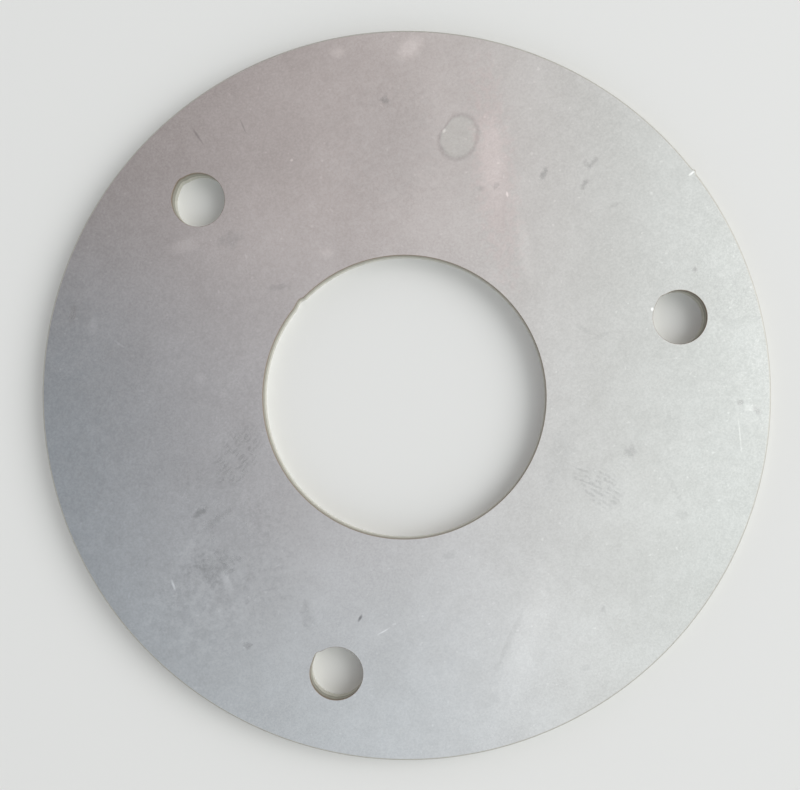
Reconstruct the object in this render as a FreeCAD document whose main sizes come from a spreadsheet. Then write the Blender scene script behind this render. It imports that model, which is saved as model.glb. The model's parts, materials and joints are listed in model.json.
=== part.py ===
"""Flat plate flange: one disc, cut by laser from stainless sheet.

The disc has an open bore in the middle and three screw holes on a circle. It is
a single piece of metal, so it is a single body with no joints.

Frame: millimetres, origin at the centre of the bottom face, +Z up along the
bore, +X through the first screw hole.
"""
import FreeCAD
import Part
import Sketcher
import os

os.makedirs("parts", exist_ok=True)

NODE = "flange_plate"

# Driving dimensions, in millimetres, degrees and counts: alias, value, meaning.
DIMENSIONS = [
    ("plate_diameter", 90.0, "outside diameter of the disc"),
    ("plate_thickness", 3.0, "thickness of the sheet"),
    ("bore_diameter", 35.0, "open bore in the middle"),
    ("bolt_circle", 70.5, "diameter of the circle of screw holes"),
    ("bolt_hole", 6.6, "screw hole, clearance for an M6 screw"),
    ("bolt_count", 3, "screw holes, evenly spaced"),
    ("rim_rounding", 0.2, "radius of the outer edges after deburring"),
    ("hole_rounding", 0.05, "radius of the edges of the bore and screw holes"),
    ("nick_angle", 121.8, "side of each cut-out where the laser came in, from +X"),
    ("nick_depth", 0.25, "depth of the nick that the laser left there"),
    ("bore_nick_radius", 0.9, "radius of the nick in the bore"),
    ("bolt_nick_radius", 0.7, "radius of the nick in a screw hole"),
    ("tab_angle", 21.7, "place of the broken-off holding tab on the rim, from +X"),
    ("tab_radius", 0.22, "radius of the tab's stub, which is centred on the rim"),
]

doc = FreeCAD.newDocument("flat_plate_flange")


def make_sheet():
    """Put the driving dimensions into a spreadsheet, each value with its alias."""
    sheet = doc.addObject("Spreadsheet::Sheet", "Dimensions")
    for row, (alias, value, meaning) in enumerate(DIMENSIONS, start=1):
        sheet.set(f"A{row}", alias)
        sheet.set(f"B{row}", str(value))
        sheet.set(f"C{row}", meaning)
        sheet.setAlias(f"B{row}", alias)
    doc.recompute()
    return sheet


def origin_item(body, role):
    """Return one of the body's own origin planes or axes."""
    return next(item for item in body.Origin.OriginFeatures if item.Role == role)


def new_sketch(body, name):
    """Add a sketch that lies in the plane of the disc's bottom face."""
    sketch = body.newObject("Sketcher::SketchObject", name)
    sketch.AttachmentSupport = [(origin_item(body, "XY_Plane"), "")]
    sketch.MapMode = "FlatFace"
    return sketch


def bind(sketch, constraint, name, expression):
    """Add a named constraint to the sketch and drive it with an expression."""
    index = sketch.addConstraint(constraint)
    sketch.renameConstraint(index, name)
    sketch.setExpression(f"Constraints.{name}", expression)


def add_circle(sketch, name, radius, place=None):
    """Draw a circle of the given radius, at the origin or at the place (x, y)."""
    start = Part.Circle(FreeCAD.Vector(0, 0, 0), FreeCAD.Vector(0, 0, 1), 1)
    circle = sketch.addGeometry(start)
    bind(sketch, Sketcher.Constraint("Radius", circle, 1), f"{name}_radius", radius)
    if place is None:
        sketch.addConstraint(Sketcher.Constraint("Coincident", circle, 3, -1, 1))
        return
    x, y = place
    bind(sketch, Sketcher.Constraint("DistanceX", circle, 3, 1), f"{name}_x", x)
    bind(sketch, Sketcher.Constraint("DistanceY", circle, 3, 1), f"{name}_y", y)


def polar(distance, angle):
    """Give the expressions for x and y of a point at that distance and angle."""
    return (f"({distance}) * cos({angle})", f"({distance}) * sin({angle})")


def pad(body, sketch, name):
    """Raise the sketch by the thickness of the sheet."""
    feature = body.newObject("PartDesign::Pad", name)
    feature.Profile = sketch
    feature.setExpression("Length", "Dimensions.plate_thickness")
    body.Tip = feature
    doc.recompute()
    return feature


def cut_through(body, sketch, name):
    """Cut the sketch up through the whole disc, and check that metal has gone."""
    before = body.Shape.Volume
    feature = body.newObject("PartDesign::Pocket", name)
    feature.Profile = sketch
    feature.Type = "ThroughAll"
    feature.Reversed = True
    body.Tip = feature
    doc.recompute()
    if feature.Shape.Volume >= before:
        raise RuntimeError(f"{name} cut nothing")
    return feature


def repeat_around(body, feature, name):
    """Repeat a cut evenly around the bore, once for each screw hole."""
    pattern = body.newObject("PartDesign::PolarPattern", name)
    pattern.Originals = [feature]
    pattern.Axis = (origin_item(body, "Z_Axis"), [""])
    pattern.Angle = 360
    pattern.setExpression("Occurrences", "Dimensions.bolt_count")
    body.Tip = pattern
    doc.recompute()
    return pattern


def round_edges(body, name, radius, wanted):
    """Round the circular edges of the flat faces whose radius is a wanted one."""
    base = body.Tip
    names = []
    for number, edge in enumerate(base.Shape.Edges, start=1):
        if isinstance(edge.Curve, Part.Circle) and wanted(edge.Curve.Radius):
            names.append(f"Edge{number}")
    fillet = body.newObject("PartDesign::Fillet", name)
    fillet.Base = (base, names)
    fillet.setExpression("Radius", radius)
    body.Tip = fillet
    doc.recompute()
    return fillet


def add_nicks(body):
    """Cut the nick that the laser left in the bore and in each screw hole.

    All of them are on the same side, because the laser came into every cut-out
    from the same direction.
    """
    sketch = new_sketch(body, "nick_outlines")
    from_bore = "Dimensions.bore_diameter / 2 + Dimensions.nick_depth - Dimensions.bore_nick_radius"
    place = polar(from_bore, "Dimensions.nick_angle")
    add_circle(sketch, "bore_nick", "Dimensions.bore_nick_radius", place)
    from_hole = "Dimensions.bolt_hole / 2 + Dimensions.nick_depth - Dimensions.bolt_nick_radius"
    inside_x, inside_y = polar(from_hole, "Dimensions.nick_angle")
    for number in range(doc.Dimensions.bolt_count):
        turn = f"{number} * 360 / Dimensions.bolt_count"
        hole_x, hole_y = polar("Dimensions.bolt_circle / 2", turn)
        place = (f"{hole_x} + {inside_x}", f"{hole_y} + {inside_y}")
        add_circle(sketch, f"bolt_nick_{number + 1}", "Dimensions.bolt_nick_radius", place)
    return cut_through(body, sketch, "laser_nicks")


def make_flange_plate():
    """Build the disc: outline, bore, screw holes, rounded edges, cutting marks."""
    body = doc.addObject("PartDesign::Body", NODE)
    body.Label = NODE

    outline = new_sketch(body, "disc_outline")
    add_circle(outline, "disc", "Dimensions.plate_diameter / 2")
    pad(body, outline, "disc")

    bore = new_sketch(body, "bore_outline")
    add_circle(bore, "bore", "Dimensions.bore_diameter / 2")
    cut_through(body, bore, "bore")

    hole = new_sketch(body, "screw_hole_outline")
    first_place = polar("Dimensions.bolt_circle / 2", "0")
    add_circle(hole, "hole", "Dimensions.bolt_hole / 2", first_place)
    first_hole = cut_through(body, hole, "screw_hole")
    repeat_around(body, first_hole, "screw_holes")

    rim_only = doc.Dimensions.bolt_circle / 2
    round_edges(body, "rounded_rim", "Dimensions.rim_rounding", lambda r: r > rim_only)
    round_edges(body, "rounded_holes", "Dimensions.hole_rounding", lambda r: r < rim_only)

    add_nicks(body)

    stub = new_sketch(body, "tab_outline")
    on_rim = polar("Dimensions.plate_diameter / 2", "Dimensions.tab_angle")
    add_circle(stub, "tab", "Dimensions.tab_radius", on_rim)
    pad(body, stub, "tab_stub")
    return body


def check_and_export(parts):
    """Stop if anything failed to build, then write one file for each piece."""
    doc.recompute()
    for item in doc.Objects:
        if "Invalid" in item.State or "Error" in item.State:
            raise RuntimeError(f"{item.Name} is in state {item.State}")
    for piece in parts:
        if piece.Shape.isNull() or not piece.Shape.isValid():
            raise RuntimeError(f"{piece.Label} has no valid shape")
        if len(piece.Shape.Solids) != 1:
            raise RuntimeError(f"{piece.Label} is not one solid")
    for piece in parts:
        piece.Shape.exportStep(f"parts/{piece.Label}.step")
        box = piece.Shape.optimalBoundingBox()
        size = f"{box.XLength:.2f} x {box.YLength:.2f} x {box.ZLength:.2f} mm"
        print(f"{piece.Label}: {size}, {piece.Shape.Volume:.1f} mm3")


make_sheet()
check_and_export([make_flange_plate()])
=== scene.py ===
"""Looks of the flat plate flange: one laser-cut disc of satin stainless sheet.

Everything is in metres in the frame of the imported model: origin at the centre of
the bottom face, +Z up along the bore, +X through the first screw hole. The visible
disc is a finer mesh of the same size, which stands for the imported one. Marks on its
face are placed in the picture frame: the same frame turned about +Z, so that +X
points to the right of the picture and +Y to its top. Their places are given as seen
by the camera, and on_face() finds the spots on the sheet.
"""

import json
import math

import bpy
import numpy as np
from mathutils import Matrix, Vector
from mathutils.geometry import delaunay_2d_cdt


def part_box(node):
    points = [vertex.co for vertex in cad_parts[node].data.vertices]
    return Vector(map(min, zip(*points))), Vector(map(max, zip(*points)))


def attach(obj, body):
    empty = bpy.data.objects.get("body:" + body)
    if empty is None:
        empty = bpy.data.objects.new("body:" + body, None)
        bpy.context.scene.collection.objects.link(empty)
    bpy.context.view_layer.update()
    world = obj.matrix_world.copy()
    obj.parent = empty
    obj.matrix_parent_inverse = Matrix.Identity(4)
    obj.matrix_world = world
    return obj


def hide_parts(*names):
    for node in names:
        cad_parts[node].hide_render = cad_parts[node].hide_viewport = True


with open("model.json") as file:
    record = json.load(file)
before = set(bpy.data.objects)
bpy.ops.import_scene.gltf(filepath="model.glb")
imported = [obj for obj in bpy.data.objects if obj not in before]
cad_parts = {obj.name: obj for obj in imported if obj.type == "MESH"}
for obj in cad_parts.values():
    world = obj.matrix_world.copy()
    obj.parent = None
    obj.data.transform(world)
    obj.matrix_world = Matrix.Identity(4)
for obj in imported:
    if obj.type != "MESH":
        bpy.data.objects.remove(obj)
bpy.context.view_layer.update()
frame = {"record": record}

# ------------------------------------------------------------------ dimensions

MM = 0.001
NODE = "flange_plate"
MOUNTS = {mount["name"]: mount["dims"] for mount in frame["record"]["mounts"]}

lowest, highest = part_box(NODE)
THICKNESS = highest.z
RIM_RADIUS = highest.y
BORE_RADIUS = MOUNTS["bore"]["r_mm"] * MM
SCREW_RADIUS = MOUNTS["screw_holes"]["hole_r_mm"] * MM
SCREW_CIRCLE_RADIUS = MOUNTS["screw_holes"]["pcd_mm"] * MM / 2
SCREW_COUNT = MOUNTS["screw_holes"]["count"]

RIM_ROUNDING = 0.20 * MM               # the edges are barely broken
HOLE_ROUNDING = 0.05 * MM
GROOVE_DEPTH = 0.022 * MM              # deepest groove left by the laser in a cut wall
# Waves of grooves along a wall, each with its spacing and strength.
GROOVE_WAVES = ((0.95 * MM, 0.5), (0.62 * MM, 0.8), (0.47 * MM, 1.0), (0.36 * MM, 0.7))
GROOVE_TRAIL = 0.50 * MM               # how far a groove trails back at the bottom
CORNER_STEPS = 3                       # facets across a rounded edge
WALL_STEPS = 7                         # facets down a wall
NICK_ANGLE = math.radians(121.8)       # side of each cut-out where the laser came in
BORE_NICK = 0.22 * MM                  # depth of the nick at the bore's top edge
SCREW_NICKS = (0.14 * MM, 0.12 * MM, 0.24 * MM)   # and at each screw hole's
NICK_GROWTH = 0.06 * MM                # how much deeper each nick is at the bottom
NICK_STEP = 0.60 * MM                  # the nick starts steeply along the edge
NICK_TAIL = 1.50 * MM                  # and runs out slowly
TAB_ANGLE = math.radians(21.7)         # place of the broken-off holding tab
TAB_RADIUS = 0.22 * MM
PICTURE_TURN = math.radians(16.2)      # turn about +Z from this frame to the picture's
CAMERA_HEIGHT = 131.6 * MM             # of the camera above the top face
CAMERA_LEAN = (math.radians(1.267), math.radians(0.917))   # towards the picture's left, bottom
CAMERA_SHIFT = (-0.0416, 0.0369)
LENS = 48.06                           # focal length on a 36 mm sensor, in millimetres


# ------------------------------------------------------------------- cut edges

def ease(t):
    """Rise smoothly from 0 to 1 as t goes from 0 to 1."""
    t = np.clip(t, 0.0, 1.0)
    return t * t * (3.0 - 2.0 * t)


class CutEdge:
    """One closed cut through the sheet, as rings of points from top to bottom."""

    def __init__(self, centre, radius, rounding, columns, seed, nick=None):
        self.centre = centre
        self.radius = radius
        self.rounding = rounding
        self.nick = nick
        self.encloses_metal = nick is None
        self.angles = np.linspace(0.0, 2.0 * math.pi, columns, endpoint=False)
        self.random = np.random.default_rng(seed)
        self.waves = self.choose_waves()
        self.rings = self.make_rings()

    def choose_waves(self):
        """Choose the count round the edge, strength and phase of each groove wave."""
        waves = []
        for spacing, strength in GROOVE_WAVES:
            uneven = spacing * self.random.uniform(0.93, 1.07)
            count = round(2.0 * math.pi * self.radius / uneven)
            waves.append((count, strength, self.random.uniform(0.0, 2.0 * math.pi)))
        return waves

    def groove_depth(self, depth):
        """Groove depths at one level, where depth goes from 0 (top) to 1 (bottom).

        The grooves are fine and upright near the top, and deeper and trailing below.
        """
        trail = GROOVE_TRAIL * depth * depth / self.radius
        turned = self.angles - trail
        wave = sum(a * np.sin(n * turned + phase) for n, a, phase in self.waves)
        beat = 0.65 + 0.35 * np.sin(7.0 * self.angles + self.waves[0][2])
        return GROOVE_DEPTH * (0.5 + 0.17 * wave * beat) * (0.25 + 0.75 * depth)

    def clean_outline(self, depth):
        """Radius of the cut at each column at one level, with its tab stub or its nick."""
        if self.encloses_metal:
            across = self.radius * np.sin(self.angles - TAB_ANGLE)
            ahead = np.cos(self.angles - TAB_ANGLE) > 0.0
            stub = np.sqrt(np.maximum(TAB_RADIUS**2 - across**2, 0.0))
            return self.radius + np.where(ahead, stub, 0.0)
        start = NICK_ANGLE - 1.5 * NICK_STEP / self.radius
        arc = (self.angles - start) % (2.0 * math.pi) * self.radius
        tail = 1.0 - ease((arc - NICK_STEP) / NICK_TAIL)
        nick = self.nick + NICK_GROWTH * depth
        return self.radius + nick * ease(arc / NICK_STEP) * tail

    def section(self):
        """The edge's section from top to bottom, as (distance into the metal, z)."""
        corner = []
        for angle in np.linspace(0.0, math.pi / 2.0, CORNER_STEPS + 1):
            inwards = self.rounding * (1.0 - math.sin(angle))
            down = self.rounding * (1.0 - math.cos(angle))
            corner.append((inwards, down))
        top = [(inwards, THICKNESS - down) for inwards, down in corner]
        bottom = list(reversed(corner))
        levels = np.linspace(THICKNESS - self.rounding, self.rounding, WALL_STEPS + 1)[1:-1]
        return top + [(0.0, z) for z in levels] + bottom

    def make_rings(self):
        """Return the points as an array of rings, one for each level of the section."""
        into_metal = -1.0 if self.encloses_metal else 1.0
        rings = []
        for inwards, z in self.section():
            on_face = inwards == self.rounding
            depth = 1.0 - z / THICKNESS
            groove = 0.0 if on_face else self.groove_depth(depth)
            radius = self.clean_outline(depth) + into_metal * (inwards + groove)
            x = self.centre[0] + radius * np.cos(self.angles)
            y = self.centre[1] + radius * np.sin(self.angles)
            rings.append(np.stack([x, y, np.full_like(x, z)], axis=1))
        return np.array(rings)

    def normals(self):
        """Return the normal at each point, from the neighbours on the rings."""
        along = np.roll(self.rings, -1, axis=1) - np.roll(self.rings, 1, axis=1)
        down = np.gradient(self.rings, axis=0)
        normal = np.cross(down, along)
        if not self.encloses_metal:
            normal = -normal
        normal[0] = (0.0, 0.0, 1.0)
        normal[-1] = (0.0, 0.0, -1.0)
        return normal / np.linalg.norm(normal, axis=2, keepdims=True)

    def contains(self, x, y):
        """Tell whether a point of the flat face lies inside the cut."""
        dx, dy = x - self.centre[0], y - self.centre[1]
        ring = self.rings[0][:, :2] - np.array(self.centre)
        limit = np.interp(
            math.atan2(dy, dx) % (2.0 * math.pi),
            self.angles,
            np.hypot(ring[:, 0], ring[:, 1]),
            period=2.0 * math.pi,
        )
        return math.hypot(dx, dy) < limit


def cut_edges():
    """Return the rim, then the bore and the screw holes."""
    edges = [
        CutEdge((0.0, 0.0), RIM_RADIUS, RIM_ROUNDING, 2400, seed=11),
        CutEdge((0.0, 0.0), BORE_RADIUS, HOLE_ROUNDING, 1200, seed=12, nick=BORE_NICK),
    ]
    for number, nick in enumerate(SCREW_NICKS):
        turn = 2.0 * math.pi * number / SCREW_COUNT
        centre = (SCREW_CIRCLE_RADIUS * math.cos(turn), SCREW_CIRCLE_RADIUS * math.sin(turn))
        edges.append(CutEdge(centre, SCREW_RADIUS, HOLE_ROUNDING, 320, seed=21 + number, nick=nick))
    return edges


# ---------------------------------------------------------------- disc's mesh

TOP, UNDERSIDE, RIM_WALL, HOLE_WALL = range(4)   # material slots of the disc


def face_triangles(edges, level, starts):
    """Fill a flat face between the cut edges' rings at that level."""
    outlines, ids, borders = [], [], []
    for edge, start in zip(edges, starts):
        count = len(edge.angles)
        first = len(outlines)
        outlines += [Vector(point[:2]) for point in edge.rings[level]]
        offset = start + (level % len(edge.rings)) * count
        ids += range(offset, offset + count)
        borders += [(first + k, first + (k + 1) % count) for k in range(count)]
    points, _, triangles, origins, _, _ = delaunay_2d_cdt(outlines, borders, [], 0, 1e-9)
    rim, *holes = edges
    kept = []
    for triangle in triangles:
        x, y = sum((points[k] for k in triangle), Vector((0.0, 0.0))) / 3.0
        if rim.contains(x, y) and not any(hole.contains(x, y) for hole in holes):
            kept.append([ids[origins[k][0]] for k in triangle])
    return kept


def make_disc():
    """Build the whole disc as one closed mesh with exact normals."""
    edges = cut_edges()
    points, normals, faces, slots, starts = [], [], [], [], []
    total = 0
    for edge in edges:
        starts.append(total)
        levels, columns = edge.rings.shape[:2]
        wall = RIM_WALL if edge.encloses_metal else HOLE_WALL
        for level in range(levels - 1):
            upper = total + level * columns
            for k in range(columns):
                a, b = upper + k, upper + (k + 1) % columns
                quad = [a, a + columns, b + columns, b]
                faces.append(quad if edge.encloses_metal else quad[::-1])
                slots.append(wall)
        points.append(edge.rings.reshape(-1, 3))
        normals.append(edge.normals().reshape(-1, 3))
        total += levels * columns
    top = face_triangles(edges, 0, starts)
    bottom = [triangle[::-1] for triangle in face_triangles(edges, -1, starts)]
    faces += top + bottom
    slots += [TOP] * len(top) + [UNDERSIDE] * len(bottom)

    mesh = bpy.data.meshes.new("stainless_disc")
    mesh.from_pydata(np.concatenate(points).tolist(), [], faces)
    mesh.polygons.foreach_set("material_index", slots)
    mesh.polygons.foreach_set("use_smooth", [True] * len(faces))
    mesh.update()
    mesh.normals_split_custom_set_from_vertices(np.concatenate(normals).tolist())
    disc = bpy.data.objects.new("stainless_disc", mesh)
    bpy.context.scene.collection.objects.link(disc)
    return disc


# ------------------------------------------------------------------- materials

class Graph:
    """Short ways to add and join shader nodes in one node tree."""

    def __init__(self, tree):
        self.tree = tree

    def feed(self, socket, value):
        """Join an output to a socket, or set the socket's own value."""
        if isinstance(value, bpy.types.NodeSocket):
            self.tree.links.new(value, socket)
        else:
            socket.default_value = value

    def math(self, operation, *values):
        """Apply one operation to numbers."""
        node = self.tree.nodes.new("ShaderNodeMath")
        node.operation = operation
        for socket, value in zip(node.inputs, values):
            self.feed(socket, value)
        return node.outputs[0]

    def total(self, values):
        """Add up any number of values."""
        total = values[0]
        for value in values[1:]:
            total = self.math("ADD", total, value)
        return total

    def vector(self, operation, first, second=(0.0, 0.0, 0.0), output="Vector"):
        """Apply one operation to vectors or colours."""
        node = self.tree.nodes.new("ShaderNodeVectorMath")
        node.operation = operation
        self.feed(node.inputs[0], first)
        self.feed(node.inputs[1], second)
        return node.outputs[output]

    def scale(self, vector, amount):
        """Multiply a vector or a colour by a number."""
        node = self.tree.nodes.new("ShaderNodeVectorMath")
        node.operation = "SCALE"
        self.feed(node.inputs[0], vector)
        self.feed(node.inputs["Scale"], amount)
        return node.outputs[0]

    def along(self, point, direction):
        """Measure a point along a direction."""
        return self.vector("DOT_PRODUCT", point, direction, "Value")

    def place(self, point, shift=(0.0, 0.0, 0.0), turn=0.0, stretch=(1.0, 1.0, 1.0), kind="POINT"):
        """Stretch a point, turn it about +Z and shift it, or undo that as a TEXTURE."""
        node = self.tree.nodes.new("ShaderNodeMapping")
        node.vector_type = kind
        self.feed(node.inputs["Vector"], point)
        node.inputs["Location"].default_value = shift
        node.inputs["Rotation"].default_value = (0.0, 0.0, turn)
        node.inputs["Scale"].default_value = stretch
        return node.outputs[0]

    def noise(self, point, scale, detail=2.0, roughness=0.5):
        """Noise from 0 to 1, with scale in repeats for each unit of the point."""
        node = self.tree.nodes.new("ShaderNodeTexNoise")
        self.feed(node.inputs["Vector"], point)
        node.inputs["Scale"].default_value = scale
        node.inputs["Detail"].default_value = detail
        node.inputs["Roughness"].default_value = roughness
        return node.outputs["Fac"]

    def ramp(self, value, start, end, low=0.0, high=1.0):
        """Go smoothly from low to high as value goes from start to end."""
        node = self.tree.nodes.new("ShaderNodeMapRange")
        node.interpolation_type = "SMOOTHSTEP"
        for name, number in zip(("Value", "From Min", "From Max", "To Min", "To Max"),
                                (value, start, end, low, high)):
            self.feed(node.inputs[name], number)
        return node.outputs[0]

    def mix(self, amount, first, second):
        """Go from the first colour to the second as amount goes from 0 to 1."""
        node = self.tree.nodes.new("ShaderNodeMix")
        node.data_type = "RGBA"
        self.feed(node.inputs["Factor"], amount)
        self.feed(node.inputs["A"], first)
        self.feed(node.inputs["B"], second)
        return node.outputs["Result"]


def on_face(x, y):
    """Find the spot on the face, in millimetres, of a mark seen at x, y from the disc's middle.

    The camera looks a little towards the picture's lower left. So the upper right looks
    larger, and the middle of the disc's outline isn't where the bore's axis is seen.
    """
    seen = Vector((x, y))
    lean = Vector([math.sin(angle) for angle in CAMERA_LEAN]) * MM / CAMERA_HEIGHT
    return seen * (1.0 - lean.dot(seen)) + lean * (RIM_RADIUS / MM) ** 2


class Metal(Graph):
    """A bare metal material whose nodes work in millimetres."""

    def __init__(self, name, metallic):
        self.material = bpy.data.materials.new(name)
        self.material.use_nodes = True
        super().__init__(self.material.node_tree)
        self.shader = self.tree.nodes["Principled BSDF"]
        self.shader.inputs["Metallic"].default_value = metallic
        coordinates = self.tree.nodes.new("ShaderNodeTexCoord").outputs["Object"]
        self.point = self.place(coordinates, stretch=(1.0 / MM, 1.0 / MM, 1.0 / MM))
        self.picture_point = self.place(self.point, turn=PICTURE_TURN)
        self.wobble = self.ramp(self.noise(self.point, 1.3, detail=3.0), 0.3, 0.7, -1.0, 1.0)

    def inside(self, centre, size, turn):
        """The point in units of an ellipse's size, from its centre as the camera sees it."""
        shift = (*on_face(*centre), 0.0)
        flat = (size[0], size[1], 1000.0)
        return self.place(self.picture_point, shift, math.radians(turn), flat, "TEXTURE")

    def reach(self, centre, size, turn=0.0, ragged=0.0):
        """Distance from an ellipse's centre: 1 on its edge, less inside it."""
        distance = self.vector("LENGTH", self.inside(centre, size, turn), output="Value")
        return self.math("MULTIPLY_ADD", self.wobble, ragged, distance)

    def spot(self, centre, size, turn=0.0, strength=1.0, ragged=0.2):
        """A soft spot, or a scratch if it is long and thin, with that strength."""
        fade = 1.4   # the spot fades out this many times its size from its centre
        ball = self.tree.nodes.new("ShaderNodeTexGradient")
        ball.gradient_type = "SPHERICAL"
        self.feed(ball.inputs[0], self.inside(centre, (size[0] * fade, size[1] * fade), turn))
        nearness = self.math("MULTIPLY_ADD", self.wobble, ragged, ball.outputs["Fac"])
        return self.ramp(nearness, ragged, 0.8, 0.0, strength)

    def spots(self, marks, ragged=0.2):
        """The sum of many spots, added one by one, which keeps the shader small."""
        total = 0.0
        for mark in marks:
            total = self.math("ADD", self.spot(*mark, ragged=ragged), total)
        return total

    def finish(self, colour, roughness, height):
        """Join colour, roughness and surface height, in millimetres, to the shader."""
        bump = self.tree.nodes.new("ShaderNodeBump")
        bump.inputs["Distance"].default_value = MM
        self.feed(bump.inputs["Height"], height)
        self.feed(self.shader.inputs["Base Color"], colour)
        self.feed(self.shader.inputs["Roughness"], roughness)
        self.feed(self.shader.inputs["Normal"], bump.outputs[0])
        return self.material


# Marks of handling on the top face, and some painted shade and painted light, in millimetres of the
# picture frame:
# centre as seen by the camera, half length and half width, turn in degrees, strength.
SMUDGES_AND_PAINTED_SHADE = (
    ((16.9, 27.4), (0.95, 0.50), 62, 0.26),        # dabs beyond the dried drop
    ((23.1, 28.8), (1.0, 0.38), 50, 0.18),
    ((22.3, 28.4), (0.9, 0.36), 120, 0.14),
    ((22.0, 26.1), (0.9, 0.42), 60, 0.22),
    ((11.0, 25.8), (0.60, 0.42), 45, 0.18),
    ((9.1, 25.5), (0.65, 0.42), 0, 0.11),
    ((25.7, 23.4), (0.9, 0.30), 25, 0.09),
    ((35.5, 15.5), (0.48, 0.34), 40, 0.24),
    ((41.1, -0.9), (0.48, 0.48), 0, 0.20),         # at the right rim
    ((43.3, -1.9), (0.70, 0.45), -30, 0.18),
    ((22.0, 8.1), (1.7, 0.38), -30, 0.07),         # a faint hook
    ((24.4, 7.5), (1.3, 0.36), 20, 0.07),
    ((18.8, -7.5), (5.5, 1.9), 75, 0.06),          # a greasy patch right of the bore
    ((27.6, -6.9), (1.1, 0.85), 90, 0.16),
    ((34.0, -14.7), (0.9, 0.7), 0, 0.09),
    ((32.7, -11.0), (4.8, 0.40), -62, 0.05),
    ((24.2, -26.4), (0.65, 0.45), 60, 0.14),       # lower right
    ((22.0, -33.6), (0.8, 0.45), 20, 0.09),
    ((12.5, -30.5), (6.6, 0.45), 66, 0.07),
    ((5.3, -19.7), (1.2, 0.50), 20, 0.09),         # below the bore
    ((-12.3, -27.3), (2.2, 0.95), 100, 0.11),
    ((-19.7, -30.8), (0.75, 0.48), 0, 0.18),
    ((-23.7, -21.2), (3.6, 2.2), 10, 0.10),        # lower left
    ((-25.5, -14.4), (1.2, 0.52), 25, 0.24),
    ((-23.7, -15.5), (3.2, 0.50), 35, 0.09),
    ((-41.2, 10.0), (1.5, 0.45), 80, 0.14),        # left rim
    ((-21.8, 19.2), (1.9, 1.2), 20, 0.12),         # below the upper screw hole
    ((-15.6, 13.4), (1.9, 0.50), 5, 0.11),
    ((-2.7, 36.4), (0.65, 0.58), 0, 0.18),         # top
    ((-2.0, 31.0), (7.5, 9.0), 0, 0.06),           # a broad dull patch above the bore
    ((-26.0, -8.0), (18.0, 17.0), 0, 0.050),       # painted shade: the left of the sheet darker, here and in the next spot
    ((-21.5, -17.5), (11.0, 6.0), -60, 0.065),
)
WIPES_AND_PAINTED_LIGHT = (
    ((10.5, 29.5), (5.2, 1.80), 95, 0.11),         # painted highlight: a bright band beside the dried drop, along the pink streak
    # painted highlight: the same band further down
    ((14.6, 18.0), (5.2, 0.90), 98, 0.06),
    ((42.2, -1.5), (0.75, 0.55), 0, 0.13),
    ((15.0, -29.5), (10.5, 2.4), 73, 0.065),
    ((-22.2, -22.8), (1.7, 0.55), -65, 0.17),
    ((-26.7, -18.4), (4.8, 0.65), 55, 0.07),
    ((-38.9, -4.2), (1.0, 0.9), 0, 0.06),
    ((-38.7, 8.7), (1.5, 0.65), 80, 0.11),
    ((-27.4, 18.5), (2.4, 1.0), 15, 0.12),
    ((-18.5, 20.5), (11.0, 7.0), 20, 0.07),
    ((-9.9, 17.6), (1.0, 0.8), 0, 0.11),
    ((-25.5, 2.2), (0.9, 0.7), 0, 0.08),
    ((0.4, 42.9), (1.9, 1.3), 40, 0.19),
    ((-8.5, 42.3), (1.1, 0.8), 0, 0.13),
    ((15.5, -31.5), (14.0, 12.0), 0, 0.06),        # painted light: the lower right brighter, here and in the next spot
    ((29.5, -13.5), (9.0, 9.0), 0, 0.04),
)
SCRATCHES_AND_PAINTED_HIGHLIGHT = (
    ((-5.8, -27.5), (0.55, 0.20), 60, -0.55),      # a fleck above the lower screw hole
    ((-25.8, 32.0), (1.4, 0.15), -56, -0.22),
    ((-20.2, 33.2), (1.0, 0.14), -67, -0.18),
    ((-2.9, -29.1), (0.85, 0.12), 30, 0.28),
    ((41.1, -4.8), (2.6, 0.12), 96, 0.14),
    ((-35.4, 6.3), (1.3, 0.15), -35, 0.10),
    ((-28.8, -23.4), (0.80, 0.18), -70, 0.45),
    ((-23.1, -26.5), (0.28, 0.14), 35, 0.12),
    ((30.3, 10.6), (0.24, 0.20), 90, 0.70),        # beside a screw hole
    ((12.4, 24.8), (0.34, 0.14), 100, 0.40),
    ((30.2, 24.9), (0.24, 0.20), 0, 0.18),
    ((-14.2, 29.0), (0.24, 0.20), 0, 0.35),
    ((4.6, 32.6), (0.32, 0.24), 60, 0.35),         # in the notch of the dried drop
    ((35.2, 27.4), (0.50, 0.16), 38, 0.50),        # torn metal at the tab, with a painted highlight on it
)


SATIN_TINTS = ((0.624, 0.617, 0.606, 1.0), (0.616, 0.617, 0.614, 1.0))
DRIED_TINT = (0.606, 0.622, 0.606, 1.0)        # inside the dried drop
PAINTED_REFLECTION_TINT = (0.655, 0.606, 0.600, 1.0)       # a painted pink reflection streak beside it


def drop_ring(metal):
    """The edge and the inside of a dried drop, a leaning oval with a notch."""
    distance = metal.reach((6.45, 31.85), (2.75, 2.30), turn=66.0, ragged=0.025)
    notch = metal.spot((4.2, 33.6), (1.5, 0.8), 50.0, 0.28, ragged=0.0)
    distance = metal.math("ADD", distance, notch)
    from_edge = metal.math("ABSOLUTE", metal.math("SUBTRACT", distance, 1.0))
    edge = metal.ramp(from_edge, 0.0, 0.20, 1.0, 0.0)
    inside = metal.ramp(distance, 0.88, 1.0, 1.0, 0.0)
    return edge, inside


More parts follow.
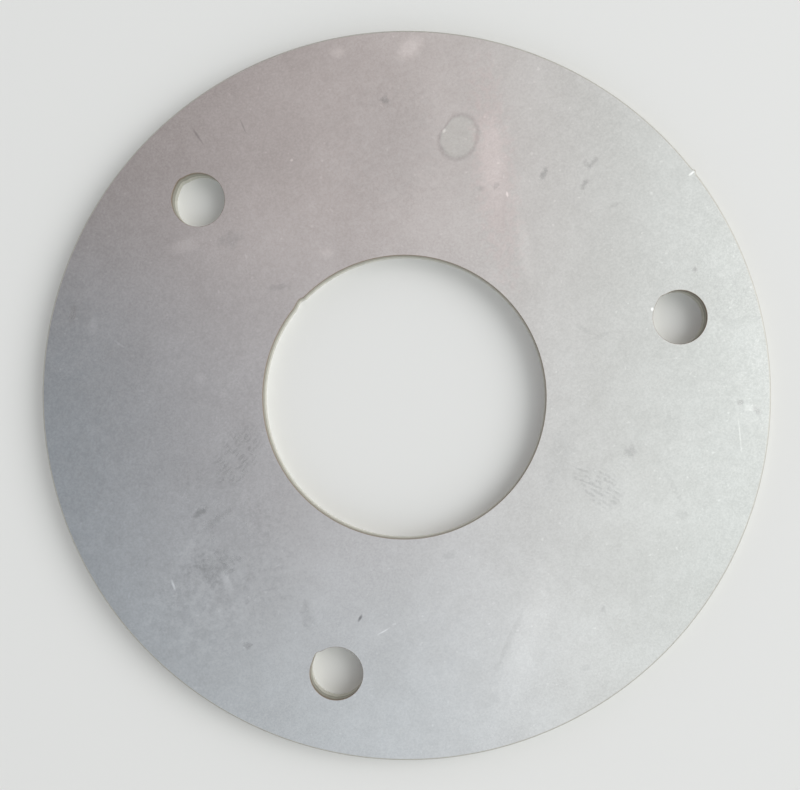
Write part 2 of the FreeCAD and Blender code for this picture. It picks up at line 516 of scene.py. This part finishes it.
def finger_mark(metal, centre, size, turn, curve_centre):
    """Rows of dots left by a finger's ridges, as arcs about a distant centre."""
    pitch = 0.59
    distance = metal.reach(curve_centre, (pitch, pitch), ragged=0.22)
    rows = metal.math("SINE", metal.math("MULTIPLY", distance, 2.0 * math.pi))
    dots = metal.noise(metal.point, 1.5, detail=0.0)
    dotted = metal.math("MULTIPLY", metal.ramp(rows, -1.0, 0.9), metal.ramp(dots, 0.34, 0.62))
    greasy = metal.math("MULTIPLY_ADD", dotted, 0.8, 0.2)
    touched = metal.ramp(metal.reach(centre, size, turn, ragged=0.15), 0.4, 1.1, 1.0, 0.0)
    return metal.math("MULTIPLY", greasy, touched)


def satin_sheet(name, handled_and_painted_light):
    """Cold-rolled stainless sheet: a satin skin of fine mottling; on the marked face also marks of
    handling, painted shade, painted light and a painted reflection.
    """
    metal = Metal(name, metallic=1.0)
    grain = metal.noise(metal.point, 4.5, detail=1.5, roughness=0.7)
    mottle = metal.noise(metal.point, 0.9, detail=3.0, roughness=0.7)
    clouds = metal.noise(metal.point, 0.16, detail=3.0, roughness=0.6)
    specks = metal.noise(metal.point, 2.2, detail=0.0)
    tint = metal.mix(clouds, *SATIN_TINTS)
    shade = [
        metal.ramp(grain, 0.3, 0.7, 0.955, 1.045),
        metal.ramp(mottle, 0.3, 0.7, -0.015, 0.015),
        metal.ramp(clouds, 0.3, 0.7, -0.035, 0.035),
        metal.ramp(specks, 0.80, 0.86, 0.0, 0.10),
    ]
    roughness = [
        metal.ramp(grain, 0.3, 0.7, 0.20, 0.23),
        metal.ramp(mottle, 0.3, 0.7, 0.0, 0.02),
    ]
    height = [
        metal.math("MULTIPLY", grain, 0.0010),
        metal.math("MULTIPLY", mottle, 0.0018),
    ]
    # Marks of handling, with painted shade, painted light and a painted reflection.
    if handled_and_painted_light:
        ring, dried = drop_ring(metal)
        prints = metal.total([
            finger_mark(metal, (-20.9, -7.6), (5.2, 3.0), 60.0, (-33.0, 4.0)),
            finger_mark(metal, (23.6, -11.2), (4.4, 2.6), -35.0, (17.0, -24.0)),
        ])
        # Smudges of handling, with painted shade on the left of the sheet among them.
        smudged_and_painted_shade = metal.spots(SMUDGES_AND_PAINTED_SHADE)
        grubby = metal.spot((-25.0, -26.0), (9.0, 8.0), 20.0)
        # Painted reflection: a pink streak of reflected light, painted into the colour.
        painted_reflection_streak = metal.spot((11.0, 27.0), (15.0, 3.0), 97.0, 0.65)
        tint = metal.mix(dried, tint, DRIED_TINT)
        tint = metal.mix(painted_reflection_streak, tint, PAINTED_REFLECTION_TINT)
        shade += [
            metal.math("MULTIPLY", grubby, metal.ramp(mottle, 0.35, 0.65, -0.06, 0.06)),
            metal.math("MULTIPLY", ring, -0.15),
            metal.math("MULTIPLY", prints, -0.17),
            metal.math("MULTIPLY", smudged_and_painted_shade, -1.0),
            # wipes, with painted light and a painted highlight among them
            metal.spots(WIPES_AND_PAINTED_LIGHT, ragged=0.08),
            # scratches, with a painted highlight at the tab among them
            metal.spots(SCRATCHES_AND_PAINTED_HIGHLIGHT, ragged=0.1),
        ]
        roughness += [
            metal.math("MULTIPLY", prints, 0.04),
            metal.math("MULTIPLY", smudged_and_painted_shade, 0.25),
        ]
        height.append(metal.math("MULTIPLY", ring, 0.0035))
    colour = metal.scale(tint, metal.total(shade))
    return metal.finish(colour, metal.total(roughness), metal.total(height))


# Depths of the zones of a cut wall, in millimetres below the top face.
LIP_END = (0.40, 0.80)
SEAM = 1.45
LOWER_ZONE_START = (1.4, 1.8)
BRIGHT_EDGE_START = (2.70, 2.90)
FINE_ZONE = (0.42, 0.41, 0.35, 1.0)
SEAM_COLOUR = (0.28, 0.26, 0.21, 1.0)
COARSE_ZONE = (0.66, 0.65, 0.59, 1.0)
BRIGHT_EDGE = (0.85, 0.84, 0.79, 1.0)
RIM_LIP = (0.45, 0.44, 0.40, 1.0)
HOLE_LIP = (0.27, 0.22, 0.17, 1.0)


def cut_wall(name, lip_colour):
    """Laser-cut wall: a burnt lip, a fine zone, a dark seam, a coarse zone, a bright edge."""
    metal = Metal(name, metallic=0.6)
    upright = metal.place(metal.point, stretch=(1.0, 1.0, 0.12))
    streaks = metal.noise(upright, 5.0, detail=3.0, roughness=0.6)
    depth = metal.math("SUBTRACT", THICKNESS / MM, metal.along(metal.point, (0.0, 0.0, 1.0)))
    wavy = metal.math("ADD", depth, metal.math("MULTIPLY", metal.wobble, 0.08))
    zones = metal.mix(metal.ramp(wavy, *LOWER_ZONE_START), FINE_ZONE, COARSE_ZONE)
    from_seam = metal.math("ABSOLUTE", metal.math("SUBTRACT", wavy, SEAM))
    zones = metal.mix(metal.ramp(from_seam, 0.0, 0.25, 0.6, 0.0), zones, SEAM_COLOUR)
    zones = metal.mix(metal.ramp(depth, *BRIGHT_EDGE_START), zones, BRIGHT_EDGE)
    lipped = metal.mix(metal.ramp(wavy, *LIP_END), lip_colour, zones)
    colour = metal.scale(lipped, metal.ramp(streaks, 0.25, 0.75, 0.90, 1.10))
    roughness = metal.ramp(streaks, 0.3, 0.7, 0.42, 0.56)
    height = metal.math("MULTIPLY", streaks, 0.02)
    return metal.finish(colour, roughness, height)


# ------------------------------------------------------------- floor and light

def in_picture(x, y, z):
    """Turn a place in the picture frame into this frame."""
    return Matrix.Rotation(-PICTURE_TURN, 4, "Z") @ Vector((x, y, z))


def make_floor():
    """A plain pale floor under the disc."""
    size = 3.0   # from the middle to each side
    mesh = bpy.data.meshes.new("floor")
    corners = [(-size, -size, 0.0), (size, -size, 0.0), (size, size, 0.0), (-size, size, 0.0)]
    mesh.from_pydata(corners, [], [(0, 1, 2, 3)])
    floor = bpy.data.objects.new("floor", mesh)
    bpy.context.scene.collection.objects.link(floor)
    material = bpy.data.materials.new("pale_floor")
    material.use_nodes = True
    shader = material.node_tree.nodes["Principled BSDF"]
    shader.inputs["Base Color"].default_value = (0.70, 0.70, 0.69, 1.0)
    shader.inputs["Roughness"].default_value = 0.9
    mesh.materials.append(material)
    return floor


# Soft light from above: how bright the sky is at each slant towards the picture's
# right, as (slant, brightness).
SKY = (
    (-1.0, 0.50),
    (-0.62, 0.42),
    (-0.45, 0.22),
    (0.04, 0.71),
    (0.24, 0.85),
    (0.6, 0.95),
    (1.0, 0.85),
)
SKY_STRENGTH = 1.275
HORIZON = (0.48, 0.48, 0.48, 1.0)
WHITE = (1.0, 1.0, 1.0, 1.0)

# Faint tints of the sky overhead. Each has the stretch over which it sets in towards the
# picture's top, the one towards its right, and its colour.
TINTS = (
    ((-0.08, -0.26), (0.16, -0.04), (0.945, 1.01, 1.07, 1.0)),     # cool, lower left
    ((0.02, 0.16), (0.12, -0.02), (1.09, 0.965, 0.945, 1.0)),      # warm, upper left
    ((0.20, 0.06), (-0.20, -0.38), (0.87, 1.0, 1.12, 1.0)),        # blue, far left
)


def make_world():
    """A soft sky, brighter towards the picture's right, faintly tinted overhead only."""
    world = bpy.data.worlds.new("studio")
    world.use_nodes = True
    bpy.context.scene.world = world
    graph = Graph(world.node_tree)
    background = world.node_tree.nodes["Background"]
    direction = world.node_tree.nodes.new("ShaderNodeTexCoord").outputs["Generated"]
    turned = graph.place(direction, turn=PICTURE_TURN)
    slant = graph.along(turned, (1.0, -0.25, 0.0))
    sky = world.node_tree.nodes.new("ShaderNodeValToRGB")
    graph.feed(sky.inputs[0], graph.math("MULTIPLY_ADD", slant, 0.5, 0.5))
    stops = sky.color_ramp.elements
    while len(stops) < len(SKY):
        stops.new(0.5)
    for stop, (place, brightness) in zip(stops, SKY):
        stop.position = 0.5 + 0.5 * place
        stop.color = (brightness, brightness, brightness, 1.0)
    right = graph.along(turned, (1.0, 0.0, 0.0))
    up = graph.along(turned, (0.0, 1.0, 0.0))
    tint = graph.mix(graph.ramp(right, -0.12, 0.12), (1.0, 0.975, 1.015, 1.0), (1.0, 1.0, 0.985, 1.0))
    for upwards, rightwards, colour in TINTS:
        patch = graph.math("MULTIPLY", graph.ramp(up, *upwards), graph.ramp(right, *rightwards))
        tint = graph.mix(patch, tint, colour)
    tint = graph.mix(graph.ramp(right, 0.08, 0.24), tint, (0.97, 1.025, 1.0, 1.0))
    height = graph.along(turned, (0.0, 0.0, 1.0))
    tint = graph.mix(graph.ramp(height, 0.55, 0.80), WHITE, tint)
    overhead = graph.vector("MULTIPLY", sky.outputs[0], tint)
    graph.feed(background.inputs["Color"], graph.mix(graph.ramp(height, 0.05, 0.45), HORIZON, overhead))
    background.inputs["Strength"].default_value = SKY_STRENGTH


def make_key_light():
    """A large soft lamp on the picture's right."""
    data = bpy.data.lights.new("key", "AREA")
    data.shape = "DISK"
    data.size = 0.60
    data.energy = 3.0
    lamp = bpy.data.objects.new("key", data)
    lamp.location = in_picture(0.60, 0.12, 0.55)
    lamp.rotation_euler = (-lamp.location).to_track_quat("-Z", "Y").to_euler()
    bpy.context.scene.collection.objects.link(lamp)


# --------------------------------------------------------------------- camera

def make_camera():
    """Look down on the disc as in the picture."""
    data = bpy.data.cameras.new("camera")
    data.sensor_width = 36.0
    data.lens = LENS
    data.shift_x, data.shift_y = CAMERA_SHIFT
    data.clip_start = 0.01
    camera = bpy.data.objects.new("camera", data)
    turn = Matrix.Rotation(-PICTURE_TURN, 4, "Z")
    place = Matrix.Translation((6.52 * MM, -1.23 * MM, CAMERA_HEIGHT + THICKNESS))
    tilt = Matrix.Rotation(CAMERA_LEAN[0], 4, "Y") @ Matrix.Rotation(-CAMERA_LEAN[1], 4, "X")
    camera.matrix_world = turn @ place @ tilt
    bpy.context.scene.collection.objects.link(camera)
    bpy.context.scene.camera = camera


# ----------------------------------------------------------------- the scene

make_camera()
make_floor()
make_world()
make_key_light()
bpy.context.scene.view_settings.view_transform = "Standard"

disc = make_disc()
for material in (
    satin_sheet("satin_top", handled_and_painted_light=True),
    satin_sheet("satin_underside", handled_and_painted_light=False),
    cut_wall("rim_cut", RIM_LIP),
    cut_wall("hole_cut", HOLE_LIP),
):
    disc.data.materials.append(material)
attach(disc, "root")
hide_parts(NODE)
